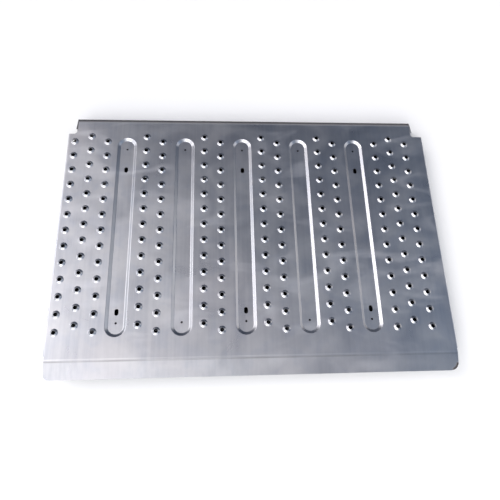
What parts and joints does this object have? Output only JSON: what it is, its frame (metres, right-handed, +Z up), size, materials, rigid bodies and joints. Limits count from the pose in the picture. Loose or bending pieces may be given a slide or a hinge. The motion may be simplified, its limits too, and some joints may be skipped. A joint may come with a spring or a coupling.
{
  "type": "scaffold plank",
  "caption": "Pressed galvanised steel scaffold plank with raised grip dimples, long stiffening grooves, folded flanges and riveted cross members.",
  "frame": {"origin": "on the ground under the middle of the plank, level with the flange rims", "axes": "+X along the plank's length, +Y to its rear flange, +Z up out of the deck"},
  "size_m": [0.9234, 0.65, 0.053],
  "materials": {
    "deck_zinc": "satin galvanised",
    "member_zinc": "dull galvanised",
    "rivet_steel": "zinc plated"
  },
  "bodies": {
    "root": {"deck_sheet": "deck_zinc", "rear_bearer": "member_zinc", "front_bearer": "member_zinc", "front_channel": "member_zinc", "rear_bearer_rivet_left_1": "rivet_steel", "rear_bearer_rivet_left_2": "rivet_steel", "rear_bearer_rivet_right_1": "rivet_steel", "rear_bearer_rivet_right_2": "rivet_steel", "front_bearer_rivet_left_1": "rivet_steel", "front_bearer_rivet_left_2": "rivet_steel", "front_bearer_rivet_right_1": "rivet_steel", "front_bearer_rivet_right_2": "rivet_steel", "front_channel_rivet_left_1": "rivet_steel", "front_channel_rivet_left_2": "rivet_steel", "front_channel_rivet_right_1": "rivet_steel", "front_channel_rivet_right_2": "rivet_steel"}
  },
  "joints": []
}
